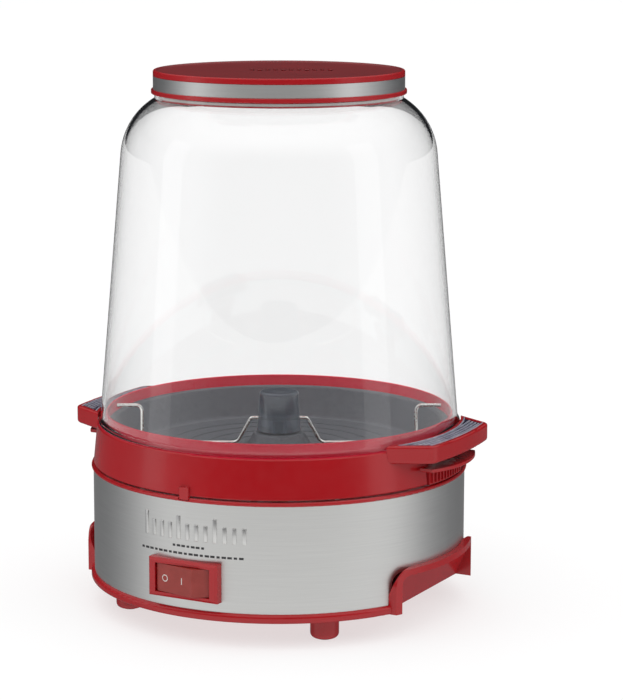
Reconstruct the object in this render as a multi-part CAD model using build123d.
from build123d import *
import os
from math import asin, atan2, cos, degrees, pi, radians, sin, sqrt, tan

# A stirring popcorn maker that stands on a table. Millimetres, +Z up. The origin is on the table
# under the middle of the base. The switch faces -Y, and the handles point along +X and -X.

# Heights, from the table upward
foot_height = 17.2
trim_bead_height = 6.1
band_height = 72.0
upper_bead_height = 2.7
ring_gap = 1.0
ring_wall_height = 27.5
collar_height = 8.5
bowl_height = 227.3
lid_height = 15.9

# Widths
band_radius = 128.7
handle_overhang = 14.175
front_overhang = 7.8
lid_radius = 85.4

# Walls and clearances
shell_wall = 2.4
band_thickness = 0.6
bowl_wall = 2.4
plate_wall = 1.5
seat_gap = 0.3
fit_gap = 0.2
face_gap = 0.1
running_gap = 0.05

# Levels that follow from the heights
bead_top = foot_height + trim_bead_height
band_top = bead_top + band_height
upper_bead_top = band_top + upper_bead_height
ring_bottom = upper_bead_top + ring_gap
shoulder = ring_bottom + ring_wall_height
collar_top = shoulder + collar_height
bowl_bottom = shoulder + seat_gap
bowl_top = bowl_bottom + bowl_height
lid_plate_bottom = bowl_top + seat_gap
lid_skirt_drop = 2.0
lid_bottom = lid_plate_bottom - lid_skirt_drop
lid_top_level = lid_bottom + lid_height

# Reaches from the middle of the base
handle_reach = band_radius + handle_overhang
front_reach = band_radius + front_overhang

# Base shell
bead_radius = band_radius + 2.3
upper_bead_radius = band_radius + 1.3
shell_radius = band_radius - band_thickness - fit_gap
shell_inside = shell_radius - shell_wall
shelf_level = band_top - 13.0
shelf_inside = shell_inside - 21.5
cover_thickness = 2.5
cover_top = foot_height + cover_thickness

# Hand grips, let into the band at both ends of the X axis
grip_half_width = 59.0
grip_rail_top = bead_top + 23.5
grip_lip = 4.6
grip_rail = 4.2
grip_corner = 11.0
grip_mouth_corner = 6.5
grip_step = 2.4
grip_reach = band_radius + 5.3
grip_back_low = band_radius - 17.7
grip_back_high = band_radius - 4.2
grip_wall = 2.5

# Feet
foot_radius = 9.6
foot_rounding = 3.6
foot_circle = shell_inside - 18.5
foot_angles = {"front_left": 225, "front_right": 315, "rear_left": 135, "rear_right": 45}
screw_angles = (68, 112, 248, 292)
pad_radius = 5.0
pad_proud = 0.6
pad_depth = 1.6

# Switch
switch_level = bead_top + 19.7
switch_cut_depth = 28.7
bezel_width = 52.0
bezel_height = 26.0
bezel_front = band_radius + 4.3
window_width = 41.2
window_height = 19.6
sleeve_wall = 1.6
rocker_pivot = band_radius - 0.2
rocker_crest = 9.5
rocker_back = 1.5
rocker_left_proud = 3.1
rocker_right_proud = 2.0
pin_radius = 1.2

# Cord gland at the back
gland_level = bead_top + 14.7
gland_nozzle_radius = 6.5
gland_flange_radius = 10.0
gland_bore = 3.6

# Tray: ring, plate and stirrer
ring_foot_radius = band_radius - 0.2
ring_neck_radius = band_radius - 3.0
collar_radius = ring_neck_radius - 5.8
collar_wall = 1.4
flange_radius = collar_radius - collar_wall - seat_gap
ledge_inside = collar_radius - 5.4
plate_mouth_radius = ledge_inside - 2.2
plate_floor_radius = plate_mouth_radius - 13.3
plate_depth = 19.0
plate_floor = shoulder - plate_depth
dome_top = plate_floor + 10.5
groove_insets = (19, 33, 47, 61)
dome_top_radius = 17.0
dome_foot_radius = 23.2
tab_width = 7.3
tab_height = 8.2
tab_proud = 2.0

# Handles and release levers
handle_thickness = 12.0
handle_top = shoulder + 3.5
handle_root_half = 53.0
handle_tip_half = 41.0
handle_shoulder_in = 3.4
handle_corner = 9.0
insert_margin = 3.2
insert_depth = 1.4
slat_inset = 13.375
slat_pitch = 2.6
slat_count = 4
pocket_half = 24.0
lever_half_width = 34.0
lever_reach = handle_reach - 0.475
lever_level = ring_bottom + 10.7
lever_thickness = 2.4
lever_block_half = 24.0
lever_rib_pitch = 4.2
lever_rib_pairs = 5
lever_pivot_x = ring_neck_radius - 4.7
lever_pivot_z = lever_level + 4.0
lever_pin_radius = 1.5
lever_ear = 3.0
lever_eye = 3.2
notch_clearance = 1.5
handle_screw_radius = 1.5
handle_screw_level = handle_top - handle_thickness + 2.9

# Bowl
bowl_foot_radius = ring_neck_radius - 2.0
bowl_taper = 4.93
bowl_shoulder_arc = 47.0
neck_radius = lid_radius - 0.9
neck_length = 5.0

# Lid
lid_rim_radius = lid_radius + 1.3
lid_rim_height = 3.1
lid_cap_thickness = 4.0
lid_plate_thickness = 2.6
lid_skirt_radius = neck_radius - bowl_wall - 1.3
gasket_section = 1.1

# Drive
shield_floor = shelf_level - 20.3
bracket_level = shield_floor - 21.0
bracket_thickness = 2.0
gear_module = 1.0
drive_teeth = 48
pinion_teeth = 12
gear_level = bracket_level + 6.0
gear_width = 6.0
shaft_radius = 3.0
motor_radius = 24.0
motor_height = bracket_level - cover_top - 1.3
coupling_radius = 8.0
tongue_width = 9.0
tongue_thickness = 2.6
coupling_top = plate_floor - 8.5
tongue_length = 6.0

# Heater
heater_radius = plate_floor_radius - 9.0
heater_thickness = 4.0
heater_gap = 0.4
heater_hole = 14.0
element_radius = heater_radius - 22.0
element_section = 3.3
shield_sheet = 0.8
post_circle = heater_radius - 10.0
post_radius = 3.0
spring_radius = 5.2
spring_wire = 1.2

# Stirrer
knob_bottom = dome_top + 0.8
knob_height = 27.7
knob_foot_radius = 15.2
knob_top_radius = 13.4
wire_radius = 1.25
arm_level = knob_bottom + 8.7
arm_angle = 28.6
sweep_level = plate_floor + 2.6
rim_run_level = collar_top + 1.4
sweep_reach = plate_floor_radius - 4.0
rim_run_reach = collar_radius - 7.5


def placed(sketch):
    """The sketch's x is the radius and its y is the height."""
    return Plane.XZ * sketch


def rounded_outline(corners):
    """A closed face from (x, y, rounding) corners."""
    face = make_face(Polyline(*[(x, y) for x, y, _ in corners], close=True))
    for x, y, rounding in corners:
        if rounding:
            corner = min(face.vertices(), key=lambda v: (v.X - x) ** 2 + (v.Y - y) ** 2)
            face = fillet(corner, rounding)
    return face


def turned(*corners):
    return revolve(placed(rounded_outline(corners)), axis=Axis.Z)


def tube(outer, inner, low, high):
    return turned((inner, low, 0), (outer, low, 0), (outer, high, 0), (inner, high, 0))


def rod(radius, low, high, x=0.0, y=0.0):
    return Pos(x, y, (low + high) / 2) * Cylinder(radius, high - low)


def block(x_low, x_high, y_low, y_high, z_low, z_high):
    size = (x_high - x_low, y_high - y_low, z_high - z_low)
    middle = ((x_low + x_high) / 2, (y_low + y_high) / 2, (z_low + z_high) / 2)
    return Pos(*middle) * Box(*size)


def across_y(radius, x, z, y_low, y_high):
    """A round bar along Y."""
    return Pos(x, (y_low + y_high) / 2, z) * Rot(90, 0, 0) * Cylinder(radius, y_high - y_low)


def along_x(sketch, x_low, x_high):
    """Extrudes a sketch drawn in Y and Z along X."""
    return extrude(Plane.YZ.offset(x_low) * sketch, x_high - x_low)


def mirrored(part):
    return mirror(part, Plane.YZ)


def joined(first, *others):
    for other in others:
        first = first + other
    return first


# ---- Base ----

def grip_outline(inset, low):
    """The arch of a hand grip in Y and Z, inset from its outer edge."""
    half = grip_half_width - inset
    high = grip_rail_top - inset
    round_off = max(grip_corner - inset, 3.0)
    return rounded_outline([(-half, low, 0), (half, low, 0),
                            (half, high, round_off), (-half, high, round_off)])


def grip_cutter(inset):
    """What a shell loses so that a hand grip can pass through it."""
    cutter = along_x(grip_outline(inset, foot_height - 1), 90, grip_reach + 5)
    return cutter + mirrored(cutter)


def grip_back_plane(behind):
    """Everything inside the leaning back wall of a grip, or behind it by a distance."""
    rise = grip_rail_top - foot_height
    lean = (grip_back_high - grip_back_low) / rise
    low_level, high_level = foot_height - 5, grip_rail_top + 5
    low_x = grip_back_low - 5 * lean - behind
    high_x = grip_back_high + 5 * lean - behind
    half = grip_half_width + 20
    side = make_face(Polyline((60, low_level), (low_x, low_level), (high_x, high_level), (60, high_level),
                              close=True))
    return Pos(0, half, 0) * extrude(Plane.XZ * side, 2 * half)


def hand_grip():
    """A proud arched lip round a leaning scoop that the fingers reach into from below."""
    flange = along_x(grip_outline(0, foot_height), 100, grip_reach + 5)
    flange = flange & tube(grip_reach, band_radius + face_gap, foot_height, grip_rail_top)
    through = along_x(grip_outline(grip_step, foot_height), 100, grip_reach + 5)
    through = through & rod(band_radius + 1.0, foot_height, grip_rail_top)
    half = grip_half_width - grip_lip
    high = grip_rail_top - grip_rail
    mouth = rounded_outline([(-half, foot_height - 1, 0), (half, foot_height - 1, 0),
                             (half, high, grip_mouth_corner), (-half, high, grip_mouth_corner)])
    scoop = along_x(mouth, 100, grip_reach + 5) - grip_back_plane(0)
    return flange + through - grip_back_plane(grip_wall) - scoop


def base_housing():
    shell = turned((shell_inside, foot_height, 0), (bead_radius, foot_height, 2.0),
                   (bead_radius, bead_top, 2.4), (shell_radius, bead_top, 0),
                   (shell_radius, band_top, 0), (shell_inside, band_top, 0),
                   (shell_inside, shelf_level, 0), (shelf_inside, shelf_level, 0),
                   (shelf_inside, shelf_level - shell_wall, 0), (shell_inside, shelf_level - shell_wall, 0))
    lip_room = grip_cutter(-face_gap) - rod(band_radius, 0, shelf_level)
    shell = shell - lip_room - grip_cutter(grip_step - fit_gap) - switch_cutter() - gland_cutter()
    for angle in screw_angles:
        boss_middle = Rot(0, 0, angle) * Pos(boss_circle(), 0, 0)
        low, high = cover_top, shelf_level - shell_wall
        boss = boss_middle * rod(4.5, low, high)
        shell = shell + boss - boss_middle * rod(screw_radius() + face_gap, low - 1, low + 16)
    return shell


def boss_circle():
    return shell_inside - 9.5


def screw_radius():
    return 1.9


def steel_band():
    band = tube(band_radius, band_radius - band_thickness, bead_top, band_top)
    return band - grip_cutter(grip_step - fit_gap) - switch_cutter() - gland_cutter()


def upper_trim_ring():
    ring = turned((shell_inside - 1.5, band_top, 0), (upper_bead_radius, band_top, 1.2),
                  (upper_bead_radius, upper_bead_top, 1.2), (shell_inside - 1.5, upper_bead_top, 0))
    half = tab_width / 2 + 0.5
    notch = block(-half, half, -upper_bead_radius - 1, -ring_foot_radius + 2.6,
                  band_top + 1.1, upper_bead_top + 1)
    return ring - notch


def bottom_cover():
    cover = rod(shell_inside - fit_gap, foot_height, cover_top)
    grip_room = grip_cutter(-seat_gap) - grip_back_plane(grip_wall + seat_gap)
    cover = cover - (grip_room - mirrored(grip_back_plane(grip_wall + seat_gap)))
    for row in range(-3, 4):
        vent = SlotOverall(46 - 5 * abs(row), 3.2)
        cover = cover - Pos(0, 9.0 * row, foot_height - 1) * extrude(vent, cover_thickness + 2)
    for angle in screw_angles:
        place = Rot(0, 0, angle) * Pos(boss_circle(), 0, 0)
        cover = cover - place * rod(screw_radius() + 0.3, 0, cover_top + 1)
    return cover


def foot(angle):
    corners = [(0, pad_depth, 0), (pad_radius + fit_gap, pad_depth, 0), (pad_radius + fit_gap, pad_proud, 0),
               (foot_radius, pad_proud, foot_rounding), (foot_radius, foot_height, 0), (0, foot_height, 0)]
    solid = revolve(placed(rounded_outline(corners)), axis=Axis.Z)
    return Rot(0, 0, angle) * Pos(foot_circle, 0, 0) * solid


def foot_pad(angle):
    return Rot(0, 0, angle) * Pos(foot_circle, 0, 0) * rod(pad_radius, 0, pad_depth)


def base_screws():
    """Four screws that go up through the cover into the bosses of the housing."""
    screws = []
    for angle in screw_angles:
        shank = rod(screw_radius() - 0.2, foot_height - 0.2, cover_top + 13)
        head = rod(3.4, foot_height - 2.2, foot_height)
        recess = Pos(0, 0, foot_height - 2.2) * (Box(3.6, 0.9, 1.8) + Box(0.9, 3.6, 1.8))
        screws.append(Rot(0, 0, angle) * Pos(boss_circle(), 0, 0) * (head + shank - recess))
    return screws


# ---- Cord gland ----

def rearward(radius, y_low, y_high):
    return Pos(0, (y_low + y_high) / 2, gland_level) * Rot(90, 0, 0) * Cylinder(radius, y_high - y_low)


def gland_cutter():
    return rearward(gland_nozzle_radius + fit_gap, shell_inside - 10, band_radius + 5)


def cord_gland():
    """The outlet that a mains lead would leave by."""
    flange_face = band_radius + 2.6
    body = rearward(gland_nozzle_radius, shell_inside - 8, front_reach)
    body = fillet(body.edges().group_by(Axis.Y)[-1], 2.0)
    flange = rearward(gland_flange_radius, band_radius - 6, flange_face)
    flange = chamfer(flange.edges().group_by(Axis.Y)[-1], 0.8) - rod(band_radius + face_gap, 0, band_top)
    return body + flange - rearward(gland_bore, shell_inside - 12, front_reach + 5)


def gland_nut():
    low = shell_inside - 7
    hexagon = extrude(RegularPolygon(gland_flange_radius - 0.5, 6), 4.0)
    nut = Pos(0, low, gland_level) * Rot(-90, 0, 0) * hexagon
    return nut - rearward(gland_nozzle_radius + running_gap, low - 5, low + 10)


# ---- Switch ----

def forward_block(width, height, reach_low, reach_high):
    """A block centred on the switch, from one reach to another along -Y."""
    return block(-width / 2, width / 2, -reach_high, -reach_low,
                 switch_level - height / 2, switch_level + height / 2)


def switch_cutter():
    sleeve_width = window_width + 2 * sleeve_wall
    sleeve_height = window_height + 2 * sleeve_wall
    back = band_radius - switch_cut_depth
    return forward_block(sleeve_width + fit_gap, sleeve_height + fit_gap, back, band_radius + 10)


def switch_bezel():
    sleeve_width = window_width + 2 * sleeve_wall
    sleeve_height = window_height + 2 * sleeve_wall
    frame = forward_block(bezel_width, bezel_height, band_radius - 18.7, bezel_front)
    front_edges = frame.edges().group_by(Axis.Y)[0]
    frame = chamfer(front_edges, 1.6) - rod(band_radius + face_gap, 0, band_top)
    sleeve = forward_block(sleeve_width, sleeve_height, shell_inside - 9, band_radius + 2)
    window = forward_block(window_width, window_height, band_radius - switch_cut_depth, bezel_front + 1)
    return frame + sleeve - window - rocker_pin_bar(running_gap)


def rocker_pin_bar(extra):
    half = window_height / 2 + sleeve_wall
    return rod(pin_radius + extra, switch_level - half, switch_level + half, 0, -rocker_pivot)


def rocker_pin():
    return rocker_pin_bar(0)


def rocker():
    """A wedge with its crest near the right end, at rest with its left end pressed in."""
    half = window_width / 2 - 0.6
    crest_y = rocker_pivot - front_reach
    outline = rounded_outline([(-half, rocker_back, 0), (half, rocker_back, 0), (half, -rocker_right_proud, 1.5),
                               (rocker_crest, crest_y, 1.2), (-half, -rocker_left_proud, 0.8)])
    height = window_height - 0.8
    solid = extrude(outline, height)
    hub = Cylinder(pin_radius + 1.4, height, align=(Align.CENTER, Align.CENTER, Align.MIN))
    solid = solid + hub - Pos(0, 0, height / 2) * Cylinder(pin_radius + running_gap, height + 2)
    return Pos(0, -rocker_pivot, switch_level - height / 2) * solid


def switch_body():
    depth = 17.0
    front = shell_inside - 4.6
    body = forward_block(window_width - 2 * fit_gap, window_height - 2 * fit_gap, front - depth, front)
    for x in (-12, 0, 12):
        tag = forward_block(0.8, 6.3, front - depth - 8, front - depth)
        body = body + Pos(x, 0, 0) * tag
    return body


# ---- Drive ----

def spur_gear(teeth, width):
    """Straight-flanked teeth, thinned so that the pair turns with play."""
    pitch_radius = gear_module * teeth / 2
    root_radius = pitch_radius - 1.3 * gear_module
    tip_radius = pitch_radius + 0.8 * gear_module
    half_at_root = 0.28 * pi * gear_module
    half_at_tip = 0.13 * pi * gear_module
    tooth = make_face(Polyline((root_radius - 0.5, -half_at_root), (tip_radius, -half_at_tip),
                               (tip_radius, half_at_tip), (root_radius - 0.5, half_at_root), close=True))
    profile = Circle(root_radius)
    for index in range(teeth):
        profile = profile + Rot(0, 0, 360 * index / teeth) * tooth
    return extrude(profile, width)


def gear_distance():
    return gear_module * (drive_teeth + pinion_teeth) / 2


def drive_gear():
    gear = Pos(0, 0, gear_level) * spur_gear(drive_teeth, gear_width)
    hub = rod(7.0, gear_level - 2.0, gear_level + gear_width + 4.0)
    web = tube(18.5, 9.0, gear_level + gear_width - 2.0, gear_level + gear_width + 1)
    return gear - web + hub - rod(shaft_radius, 0, 90)


def motor_pinion():
    """The pinion has a gap facing the wheel, so its first tooth is turned by half a pitch."""
    towards_wheel = -90
    gear = Rot(0, 0, towards_wheel + 180 / pinion_teeth) * spur_gear(pinion_teeth, gear_width)
    spindle = rod(1.5, motor_top() - 6, gear_level + gear_width + 1.0)
    return Pos(0, gear_distance(), gear_level) * gear + Pos(0, gear_distance(), 0) * spindle


def motor_top():
    return bracket_level


def motor_case():
    low = motor_top() - motor_height
    case = rod(motor_radius, low, motor_top(), 0, gear_distance())
    case = fillet(case.edges().group_by(Axis.Z)[0], 2.0)
    for side in (-1, 1):
        ear = block(-4, 4, -5, 5, motor_top() - 1.2, motor_top())
        ear = ear - rod(1.7, 0, 90)
        case = case + Pos(side * (motor_radius + 3), gear_distance(), 0) * ear
    return case - rod(1.5 + running_gap, motor_top() - 7, 90, 0, gear_distance())


def gear_bracket():
    plate = block(-38, 38, -26, gear_distance() + 28, bracket_level, bracket_level + bracket_thickness)
    plate = fillet(plate.edges().filter_by(Axis.Z), 8.0)
    for x in (-31, 31):
        for y in (-19, gear_distance() + 21):
            plate = plate + rod(4.0, cover_top, bracket_level + 0.5, x, y)
    for side in (-1, 1):
        plate = plate - rod(1.7, 0, 90, side * (motor_radius + 3), gear_distance())
    plate = plate - rod(8.0, bracket_level - 1, bracket_level + 5, 0, gear_distance())
    return plate - rod(5.5, 0, 90)


def motor_screws():
    screws = []
    for side in (-1, 1):
        shank = rod(1.5, bracket_level - 5, bracket_level + bracket_thickness)
        head = rod(3.0, bracket_level + bracket_thickness, bracket_level + bracket_thickness + 1.4)
        screws.append(Pos(side * (motor_radius + 3), gear_distance(), 0) * (shank + head))
    return screws


def lower_bearing():
    bore = shaft_radius + running_gap
    bush = tube(5.5, bore, bracket_level - 2, bracket_level + bracket_thickness)
    return bush + tube(7.5, bore, bracket_level + bracket_thickness, bracket_level + bracket_thickness + 1.2)


def upper_bearing():
    bore = shaft_radius + running_gap
    bush = tube(6.0, bore, shield_floor - 3, shield_floor + 6)
    return bush + tube(9.0, bore, shield_floor + shield_sheet, shield_floor + shield_sheet + 1.6)


def drive_shaft():
    return rod(shaft_radius, bracket_level - 3, coupling_top - tongue_length - 4)


def drive_coupling():
    low = coupling_top - tongue_length - 8
    cup = rod(coupling_radius, low, coupling_top)
    cup = cup - rod(shaft_radius, low - 1, coupling_top - tongue_length - 4)
    slot = Rot(0, 0, arm_angle) * block(-tongue_width / 2 - seat_gap, tongue_width / 2 + seat_gap,
                                       -tongue_thickness / 2 - seat_gap, tongue_thickness / 2 + seat_gap,
                                       coupling_top - tongue_length - 1, coupling_top + 1)
    return cup - slot


# ---- Heater ----

def heater_top():
    return plate_floor - plate_wall - heater_gap


def heat_shield():
    """A pressed steel pan on the shelf of the housing, below the heater."""
    wall = shelf_inside - 5.0
    flange = shell_inside - 1.0
    floor = shield_floor
    sheet = shield_sheet
    flange_low = shelf_level
    pan = turned((6.2, floor, 0), (wall, floor, 3.0), (wall, flange_low, 0), (flange, flange_low, 0),
                 (flange, flange_low + sheet, 0), (wall - sheet, flange_low + sheet, 0),
                 (wall - sheet, floor + sheet, 2.2), (6.2, floor + sheet, 0))
    for index in range(3):
        place = Rot(0, 0, 90 + 120 * index) * Pos(post_circle, 0, 0)
        pan = pan - place * rod(post_radius + 0.3, floor - 1, floor + sheet + 1)
    return pan


def heater_plate():
    top = heater_top()
    plate = tube(heater_radius, heater_hole, top - heater_thickness, top)
    return fillet(plate.edges().group_by(Axis.Z)[-1].sort_by(SortBy.LENGTH)[-1], 1.2)


def heating_element():
    level = heater_top() - heater_thickness - element_section
    ring = Pos(0, 0, level) * Torus(element_radius, element_section)
    open_sector = 24.0
    gap = Rot(0, 0, -90 - open_sector / 2) * revolve(
        placed(Pos(element_radius, level) * Rectangle(20, 20)), axis=Axis.Z, revolution_arc=open_sector)
    ring = ring - gap
    for side in (-1, 1):
        angle = radians(-90 + side * (open_sector / 2 + 2.5))
        x, y = element_radius * cos(angle), element_radius * sin(angle)
        ring = ring + rod(2.2, level - 16, level, x, y)
    return ring


def heater_posts():
    posts = []
    for index in range(3):
        place = Rot(0, 0, 90 + 120 * index) * Pos(post_circle, 0, 0)
        post = rod(post_radius, shield_floor - 4, heater_top() - heater_thickness)
        collar = rod(post_radius + 2.5, heater_top() - heater_thickness - 1.5, heater_top() - heater_thickness)
        posts.append(place * (post + collar))
    return posts


def ring_stack(major, minor, low, high):
    """A close-wound coil spring, drawn as turns that just overlap."""
    turns = max(2, round((high - low - 2 * minor) / (1.7 * minor)) + 1)
    step = (high - low - 2 * minor) / (turns - 1)
    coil = Pos(0, 0, low + minor) * Torus(major, minor)
    for index in range(1, turns):
        coil = coil + Pos(0, 0, low + minor + step * index) * Torus(major, minor)
    return coil


def heater_springs():
    low = shield_floor + shield_sheet
    high = heater_top() - heater_thickness - 1.5
    spring = ring_stack(spring_radius, spring_wire, low, high)
    return [Rot(0, 0, 90 + 120 * index) * Pos(post_circle, 0, 0) * spring for index in range(3)]


def thermostat():
    top = heater_top() - heater_thickness
    body = rod(8.0, top - 9, top)
    tags = block(-10, -8.6, -3, 3, top - 14, top - 4.5) + block(8.6, 10, -3, 3, top - 14, top - 4.5)
    body = body + tags + block(-9, 9, -3, 3, top - 8, top - 5)
    return Pos(28 - element_radius, 0, 0) * body


def thermal_fuse():
    top = heater_top() - heater_thickness
    place = Pos(element_radius - 26, 8, top - 2.5) * Rot(90, 0, 0)
    return place * Cylinder(2.5, 12) + place * Cylinder(0.6, 34)


def terminal_block():
    block_top = cover_top + 16
    body = block(-78, -46, -58, -42, cover_top, block_top)
    for x in (-70, -62, -54):
        body = body - rod(2.6, block_top - 5, block_top + 1, x, -50)
    return body


# ---- Tray ----

def wall_radius(z):
    """The outer radius of the ring's leaning wall at a height."""
    share = (z - ring_bottom) / ring_wall_height
    return ring_foot_radius + (ring_neck_radius - ring_foot_radius) * share


def bowl_ring():
    foot_inside = ring_foot_radius - shell_wall
    neck_inside = ring_neck_radius - shell_wall
    flange_seat = shoulder - 0.5
    ledge_under = flange_seat - 2.5
    ring = turned((foot_inside, ring_bottom, 0.6), (ring_foot_radius, ring_bottom, 0.8),
                  (ring_neck_radius, shoulder, 1.4), (collar_radius + 1.0, shoulder, 0.5),
                  (collar_radius, collar_top, 0.6), (collar_radius - collar_wall, collar_top, 0.5),
                  (collar_radius - collar_wall, flange_seat, 0), (ledge_inside, flange_seat, 0),
                  (ledge_inside, ledge_under, 0), (neck_inside, ledge_under, 1.0))
    half = tab_width / 2
    tab_low = band_top + 1.6
    tab = block(-half, half, -ring_foot_radius - tab_proud, -ring_foot_radius + 2.0,
                tab_low, tab_low + tab_height)
    tab = fillet(tab.edges().filter_by(Axis.Z).group_by(Axis.Y)[0], 1.0)
    tab = tab - rod(ring_foot_radius - 1.2, tab_low - 1, ring_bottom)
    ring = ring + tab
    notch_half = lever_block_half + notch_clearance
    for side in (-1, 1):
        x_low, x_high = sorted((side * (ledge_inside - 2.5), side * (band_radius + 11.3)))
        ring = ring - block(x_low, x_high, -notch_half, notch_half, ring_bottom - 4,
                            lever_pivot_z + lever_eye + 1.2)
        for y_side in (-1, 1):
            y_low, y_high = sorted((y_side * (notch_half + 0.5), y_side * (notch_half + 0.5 + lever_ear)))
            ear = block(lever_pivot_x - 4, wall_radius(ring_bottom) - 3, y_low, y_high,
                        lever_pivot_z - 4, lever_pivot_z + 6)
            ear = ear & rod(wall_radius(lever_pivot_z + 6) - 0.5, 0, collar_top)
            ear = ear if side > 0 else mirrored(ear)
            ring = ring + ear
        pin_half = notch_half + 0.5 + lever_ear + 1
        ring = ring - across_y(lever_pin_radius + running_gap, side * lever_pivot_x, lever_pivot_z,
                               -pin_half, pin_half)
    for place in handle_screw_places():
        ring = ring - place * Rot(0, 90, 0) * Cylinder(handle_screw_radius + 0.3, 40)
    return ring


def popping_plate():
    """A pressed pan: dome in the middle, flat floor, leaning wall and a flange on the ring's ledge."""
    sheet = plate_wall
    flange_low = shoulder - 0.5
    flange_top = flange_low + sheet
    lean = (plate_mouth_radius - plate_floor_radius) / (flange_top - plate_floor)
    under = sheet * sqrt(1 + lean ** 2)
    hub = bush_radius() + face_gap
    plate = turned((hub, dome_top, 0), (dome_top_radius, dome_top, 2.0), (dome_foot_radius, plate_floor, 6.0),
                   (plate_floor_radius, plate_floor, 5.0), (plate_mouth_radius, flange_top, 2.0),
                   (flange_radius, flange_top, 0.5), (flange_radius, flange_low, 0),
                   (plate_mouth_radius + under - lean * sheet, flange_low, 0),
                   (plate_floor_radius + under - lean * sheet, plate_floor - sheet, 4.0),
                   (dome_foot_radius - sheet * 1.2, plate_floor - sheet, 6.0),
                   (dome_top_radius - sheet * 1.1, dome_top - sheet, 1.0), (hub, dome_top - sheet, 0))
    for inset in groove_insets:
        radius = plate_floor_radius - inset
        plate = plate - tube(radius + 0.8, radius - 0.8, plate_floor - 0.35, plate_floor + 1)
    return plate


def bush_radius():
    return 5.6


def plate_bush():
    """The bush that carries the stirrer's spindle in the dome of the plate."""
    bore = shaft_radius + running_gap
    low = dome_top - 12
    bush = tube(bush_radius(), bore, low, dome_top + 0.2)
    return bush + tube(bush_radius() + 2.5, bore, dome_top - plate_wall - 1.6, dome_top - plate_wall)


def stirrer_spindle():
    shaft_low = coupling_top + 1
    shaft_high = arm_level - wire_radius - 1.6
    flat_half = shaft_radius - 0.8
    spindle = rod(shaft_radius, shaft_low, shaft_high)
    flats = Rot(0, 0, arm_angle) * (block(-9, 9, flat_half, 9, knob_bottom + 1, shaft_high + 1)
                                    + block(-9, 9, -9, -flat_half, knob_bottom + 1, shaft_high + 1))
    tongue = block(-tongue_width / 2, tongue_width / 2, -tongue_thickness / 2, tongue_thickness / 2,
                   coupling_top - tongue_length, shaft_low + 2)
    head = rod(tongue_width / 2, shaft_low, shaft_low + 2)
    return spindle - flats + Rot(0, 0, arm_angle) * tongue + head


def stirrer_knob():
    taper = (knob_foot_radius - knob_top_radius) / knob_height
    top = knob_bottom + knob_height
    shell = turned((0, knob_bottom, 0), (knob_foot_radius, knob_bottom, 0.8),
                   (knob_top_radius, top, 1.5), (0, top, 0))
    bore_top = arm_level - wire_radius - 1.0
    bore = Rot(0, 0, arm_angle) * block(-shaft_radius - fit_gap, shaft_radius + fit_gap,
                                       -shaft_radius + 0.8 - fit_gap, shaft_radius - 0.8 + fit_gap,
                                       knob_bottom - 1, bore_top)
    bore = bore & rod(shaft_radius + fit_gap, knob_bottom - 1, bore_top)
    entry = rod(shaft_radius + fit_gap, knob_bottom - 1, knob_bottom + 1.4)
    hollow_low, hollow_high = arm_level + 4, top - 2.4
    inside = knob_foot_radius - taper * (hollow_low - knob_bottom) - 2.6
    hollow = Pos(0, 0, (hollow_low + hollow_high) / 2) * Cylinder(inside, hollow_high - hollow_low)
    wire_hole = Cylinder(wire_radius + running_gap, 60)
    wire_hole = Rot(0, 0, arm_angle) * Pos(0, 0, arm_level) * Rot(0, 90, 0) * wire_hole
    return shell - bore - entry - hollow - wire_hole


def arm_points(side):
    """The bends of one stirring arm, in its own upright plane."""
    reach = [0.0, 19.5, 29.0, sweep_reach, sweep_reach, rim_run_reach]
    level = [arm_level, arm_level, sweep_level, sweep_level, rim_run_level, rim_run_level]
    return [(side * r, z) for r, z in zip(reach, level)]


def stirring_rods():
    """One bent wire, through the knob from side to side."""
    left = arm_points(-1)
    right = arm_points(1)
    corners = left[:0:-1] + right[1:]
    radii = [4.0, 4.0, 5.0, 2.6, 2.6, 5.0, 4.0, 4.0]
    path = Plane.XZ * FilletPolyline(*corners, radius=radii)
    start = Plane(origin=path @ 0, z_dir=path % 0)
    wire = sweep(start * Circle(wire_radius), path=path)
    return Rot(0, 0, arm_angle) * wire


# ---- Handles and levers, drawn on +X ----

def handle_plan(inset):
    """The outline of a handle seen from above, out to its gently curved tip."""
    tip = handle_reach - inset
    root_x = ring_neck_radius - 17.7
    corner_x = tip - handle_shoulder_in
    corner_y = handle_tip_half + 2 - inset
    root_y = handle_root_half + 7 - 1.3 * inset
    edge = Polyline((corner_x, corner_y), (root_x, root_y), (root_x, -root_y), (corner_x, -corner_y))
    arc = ThreePointArc((corner_x, -corner_y), (tip, 0), (corner_x, corner_y))
    plan = make_face(edge + arc)
    corners = plan.vertices().group_by(Axis.X)[-1]
    return fillet(corners, handle_corner - inset)


def insert_seat_radius():
    return ring_neck_radius + 1.6


def handle():
    low = handle_top - handle_thickness
    solid = Pos(0, 0, low) * extrude(handle_plan(0), handle_thickness)
    solid = fillet(solid.edges().group_by(Axis.Z)[-1], 1.4)
    solid = fillet(solid.edges().group_by(Axis.Z)[0], 2.4)
    wall = turned((0, low - 5, 0), (wall_radius(low - 5) + face_gap, low - 5, 0),
                  (wall_radius(shoulder) + face_gap, shoulder, 0),
                  (wall_radius(shoulder) + face_gap, handle_top + 2, 0), (0, handle_top + 2, 0))
    seat = Pos(0, 0, handle_top - insert_depth) * extrude(handle_plan(insert_margin), insert_depth + 2)
    seat = seat - rod(insert_seat_radius(), 0, handle_top + 5)
    pocket = Pos(0, 0, low - 1) * extrude(handle_plan(2.6), handle_thickness - 3.0)
    pocket = pocket & block(ring_neck_radius + 4.0, handle_reach, -pocket_half, pocket_half, low - 2, handle_top)
    for place in handle_screw_places()[:2]:
        solid = solid - place * Rot(0, 90, 0) * Cylinder(handle_screw_radius + face_gap, 24)
    return solid - wall - seat - pocket


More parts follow.
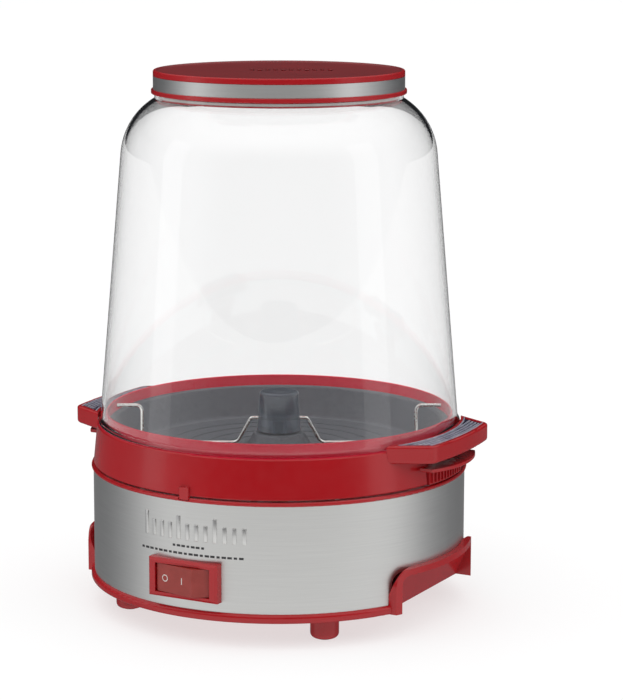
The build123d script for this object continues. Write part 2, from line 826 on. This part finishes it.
def handle_insert():
    """A ribbed translucent pad let into the top of a handle."""
    low = handle_top - insert_depth
    pad = Pos(0, 0, low) * extrude(handle_plan(insert_margin + fit_gap), insert_depth - 0.5)
    pad = pad - rod(insert_seat_radius() + fit_gap, 0, handle_top + 5)
    rib_band = Pos(0, 0, low + insert_depth - 0.5) * extrude(handle_plan(insert_margin + 2.0), 0.9)
    rib_band = rib_band - rod(insert_seat_radius() + 1.6, 0, handle_top + 5)
    first = handle_reach - slat_inset
    places = [first + slat_pitch * index for index in range(slat_count)]
    slats = [Pos(x, 0, handle_top) * Box(1.3, 120, 4) for x in places]
    ribs = rib_band & joined(*slats)
    return joined(pad, *ribs.solids())


def handle_screw_places():
    """The axes of the screws that hold the handles, from inside the ring's wall."""
    spread = degrees(asin(36.0 / ring_neck_radius))
    return [Rot(0, 0, side + turn) * Pos(wall_radius(handle_screw_level) - shell_wall, 0, handle_screw_level)
            for side in (0, 180) for turn in (-spread, spread)]


def release_lever():
    """A finger flange with a ribbed block below it, hung on a pin inside the ring's wall."""
    low, high = lever_level, lever_level + lever_thickness
    tip_x, root_x = lever_reach - 9.0, ring_neck_radius - 4.0
    edge = Polyline((tip_x, lever_half_width), (root_x, lever_half_width), (root_x, -lever_half_width),
                    (tip_x, -lever_half_width))
    arc = ThreePointArc((tip_x, -lever_half_width), (lever_reach, 0), (tip_x, lever_half_width))
    flange = Pos(0, 0, low) * extrude(make_face(edge + arc), lever_thickness)
    flange = flange - rod(ring_foot_radius + 0.7, 0, collar_top)
    flange = chamfer(flange.edges().group_by(Axis.Z)[0], 0.6)
    apron_back, apron_face = ring_neck_radius, ring_foot_radius + 0.6
    neck = block(lever_pivot_x - 1, apron_face + 2.4, -lever_block_half, lever_block_half, low, high)
    neck = neck - block(lever_pivot_x - 2, lever_pivot_x + 4.5, -5.0, 5.0, low - 1, high + 1)
    apron = tube(apron_face, apron_back, ring_bottom - 0.2, low + 1)
    apron = apron & block(90, handle_reach, -lever_block_half, lever_block_half, ring_bottom - 1, low + 1)
    solid = flange + neck + apron
    for index in range(-lever_rib_pairs, lever_rib_pairs + 1):
        turn = degrees(asin(index * lever_rib_pitch / apron_face))
        rib = block(apron_face - 0.5, apron_face + 1.2, -0.7, 0.7, ring_bottom + 0.8, low + 1)
        solid = solid + Rot(0, 0, turn) * rib
    for y_side in (-1, 1):
        y_low, y_high = sorted((y_side * (lever_block_half - 4), y_side * lever_block_half))
        ear = block(lever_pivot_x - lever_eye, lever_pivot_x + lever_eye, y_low, y_high, low, lever_pivot_z)
        ear = ear + across_y(lever_eye, lever_pivot_x, lever_pivot_z, y_low, y_high)
        solid = solid + ear
    hole_half = lever_block_half + 2
    bore = lever_pin_radius + running_gap
    return solid - across_y(bore, lever_pivot_x, lever_pivot_z, -hole_half, hole_half)


def lever_pin():
    half = lever_block_half + notch_clearance + 0.5 + lever_ear
    return across_y(lever_pin_radius, lever_pivot_x, lever_pivot_z, -half, half)


def lever_spring():
    coil = ring_stack(lever_pin_radius + 1.0, 0.5, -4, 4)
    return Pos(lever_pivot_x, 0, lever_pivot_z) * Rot(90, 0, 0) * coil


def handle_screws():
    """Each head lies against the inside of the ring's wall."""
    screws = []
    bottom_up = (Align.CENTER, Align.CENTER, Align.MIN)
    head_length = 1.6
    for place in handle_screw_places():
        shank = Rot(0, 90, 0) * Cylinder(handle_screw_radius, 11, align=bottom_up)
        head = Rot(0, 90, 0) * Cylinder(handle_screw_radius + 1.0, head_length, align=bottom_up)
        screws.append(place * Pos(-head_length - 1.0, 0, 0) * (shank + head))
    return screws


# ---- Bowl ----

def popping_bowl():
    """A clear bowl: a foot on the ring, a leaning wall, a round shoulder and a short neck."""
    lean = radians(bowl_taper)
    outer = bowl_shoulder_arc
    inner = bowl_shoulder_arc - bowl_wall
    neck_low = bowl_top - neck_length
    neck_rise = neck_low - bowl_bottom
    # The arc's centre lies so that it meets the leaning wall smoothly and reaches the foot of the neck.
    def centre_x(z):
        return bowl_foot_radius - (z - bowl_bottom) * tan(lean) - outer / cos(lean)
    low, high = neck_rise - outer, neck_rise
    for _ in range(60):
        middle = (low + high) / 2
        x = centre_x(bowl_bottom + middle)
        reached = middle + sqrt(max(outer ** 2 - (neck_radius - x) ** 2, 0))
        if reached > neck_rise:
            high = middle
        else:
            low = middle
    cz = bowl_bottom + low
    cx = centre_x(cz)

    def on_arc(radius, angle):
        return (cx + radius * cos(angle), cz + radius * sin(angle))

    def neck_angle(radius, neck):
        return atan2(sqrt(radius ** 2 - (neck - cx) ** 2), neck - cx)

    inside_neck = neck_radius - bowl_wall
    end_outer, end_inner = neck_angle(outer, neck_radius), neck_angle(inner, inside_neck)
    wall_in = bowl_foot_radius - bowl_wall
    foot_out = bowl_foot_radius + 1.3
    lines = Polyline((wall_in, bowl_bottom), (foot_out, bowl_bottom), (foot_out, bowl_bottom + 1.6),
                     (bowl_foot_radius - 0.2, bowl_bottom + 3.4), on_arc(outer, lean))
    middle_outer, middle_inner = (lean + end_outer) / 2, (lean + end_inner) / 2
    lines = lines + ThreePointArc(on_arc(outer, lean), on_arc(outer, middle_outer), on_arc(outer, end_outer))
    lines = lines + Polyline(on_arc(outer, end_outer), (neck_radius, bowl_top), (inside_neck, bowl_top),
                             on_arc(inner, end_inner))
    lines = lines + ThreePointArc(on_arc(inner, end_inner), on_arc(inner, middle_inner), on_arc(inner, lean))
    lines = lines + Line(on_arc(inner, lean), (wall_in, bowl_bottom))
    return revolve(placed(make_face(lines)), axis=Axis.Z)


# ---- Lid ----

def lid_base():
    """The part of the lid that covers the bowl's neck and plugs into it."""
    plate_top = lid_plate_bottom + lid_plate_thickness
    rim_top = lid_bottom + lid_rim_height
    channel_out = neck_radius + 0.6
    skirt_in = lid_skirt_radius - 2.0
    groove_low, groove_high = bowl_top - 4.2, bowl_top - 2.2
    core = lid_radius - band_thickness - fit_gap
    return turned((0, lid_plate_bottom, 0), (skirt_in, lid_plate_bottom, 0), (skirt_in, bowl_top - 6.5, 0.5),
                  (lid_skirt_radius, bowl_top - 6.5, 0.5), (lid_skirt_radius, groove_low, 0),
                  (lid_skirt_radius - 0.9, groove_low, 0), (lid_skirt_radius - 0.9, groove_high, 0),
                  (lid_skirt_radius, groove_high, 0), (lid_skirt_radius, lid_plate_bottom, 0),
                  (channel_out, lid_plate_bottom, 0), (channel_out, lid_bottom, 0),
                  (lid_rim_radius, lid_bottom, 0.7), (lid_rim_radius, rim_top, 0.7), (core, rim_top, 0),
                  (core, plate_top, 0), (0, plate_top, 0))


def lid_gasket():
    groove_low = bowl_top - 4.2
    inner = lid_skirt_radius - 0.9 + running_gap
    outer = neck_radius - bowl_wall - seat_gap
    return tube(outer, inner, groove_low + 0.2, groove_low + 1.8)


def lid_band():
    return tube(lid_radius, lid_radius - band_thickness, lid_bottom + lid_rim_height,
                lid_top_level - lid_cap_thickness)


def lid_cap():
    low = lid_top_level - lid_cap_thickness
    core = lid_radius - band_thickness - fit_gap
    plate_top = lid_plate_bottom + lid_plate_thickness
    cap = turned((0, low, 0), (core - 2.4, low, 0), (core - 2.4, plate_top, 0), (core, plate_top, 0),
                 (core, low, 0), (lid_radius, low, 0), (lid_radius, lid_top_level, 1.2), (0, lid_top_level, 0))
    for x, y in lid_screw_places():
        cap = cap + rod(4.0, plate_top, low + 0.5, x, y) - rod(1.5, plate_top - 1, low, x, y)
    return cap


def lid_screw_places():
    circle = lid_radius - 25.4
    return [(circle * cos(radians(a)), circle * sin(radians(a))) for a in (90, 210, 330)]


def lid_screws():
    screws = []
    for x, y in lid_screw_places():
        top = lid_plate_bottom + lid_plate_thickness
        screws.append(rod(1.4, lid_plate_bottom - 0.1, top + 4.5, x, y)
                      + rod(2.8, lid_plate_bottom - 1.5, lid_plate_bottom, x, y))
    return screws


def bored_lid_base():
    base = lid_base()
    for x, y in lid_screw_places():
        base = base - rod(1.6, lid_plate_bottom - 1, lid_plate_bottom + lid_plate_thickness + 1, x, y)
    return base


def save(name, shape):
    solids = shape if isinstance(shape, list) else [shape]
    flat = [solid for item in solids for solid in item.solids()]
    whole = Compound(children=flat) if len(flat) > 1 else flat[0]
    export_step(whole, f"parts/{name}.step")


os.makedirs("parts", exist_ok=True)

pieces = {
    "base_housing": base_housing, "steel_band": steel_band, "upper_trim_ring": upper_trim_ring,
    "bottom_cover": bottom_cover, "base_screws": base_screws, "cord_gland": cord_gland, "gland_nut": gland_nut,
    "switch_bezel": switch_bezel, "rocker": rocker, "rocker_pin": rocker_pin, "switch_body": switch_body,
    "drive_gear": drive_gear, "motor_pinion": motor_pinion, "motor_case": motor_case,
    "gear_bracket": gear_bracket, "motor_screws": motor_screws, "lower_bearing": lower_bearing,
    "upper_bearing": upper_bearing, "drive_shaft": drive_shaft, "drive_coupling": drive_coupling,
    "heat_shield": heat_shield, "heater_plate": heater_plate, "heating_element": heating_element,
    "heater_posts": heater_posts, "heater_springs": heater_springs, "thermostat": thermostat,
    "thermal_fuse": thermal_fuse, "terminal_block": terminal_block, "bowl_ring": bowl_ring,
    "popping_plate": popping_plate, "plate_bush": plate_bush, "stirrer_spindle": stirrer_spindle,
    "stirrer_knob": stirrer_knob, "stirring_rods": stirring_rods, "handle_screws": handle_screws,
    "popping_bowl": popping_bowl, "lid_base": bored_lid_base, "lid_gasket": lid_gasket, "lid_band": lid_band,
    "lid_cap": lid_cap, "lid_screws": lid_screws,
}
for name, make in pieces.items():
    save(name, make())

for name, angle in foot_angles.items():
    save(f"foot_{name}", foot(angle))
save("foot_pads", [foot_pad(angle) for angle in foot_angles.values()])

sided = {"hand_grip": hand_grip, "handle": handle, "handle_insert": handle_insert,
         "release_lever": release_lever, "lever_pin": lever_pin, "lever_spring": lever_spring}
for name, make in sided.items():
    right = make()
    save(f"{name}_right", right)
    save(f"{name}_left", mirrored(right))
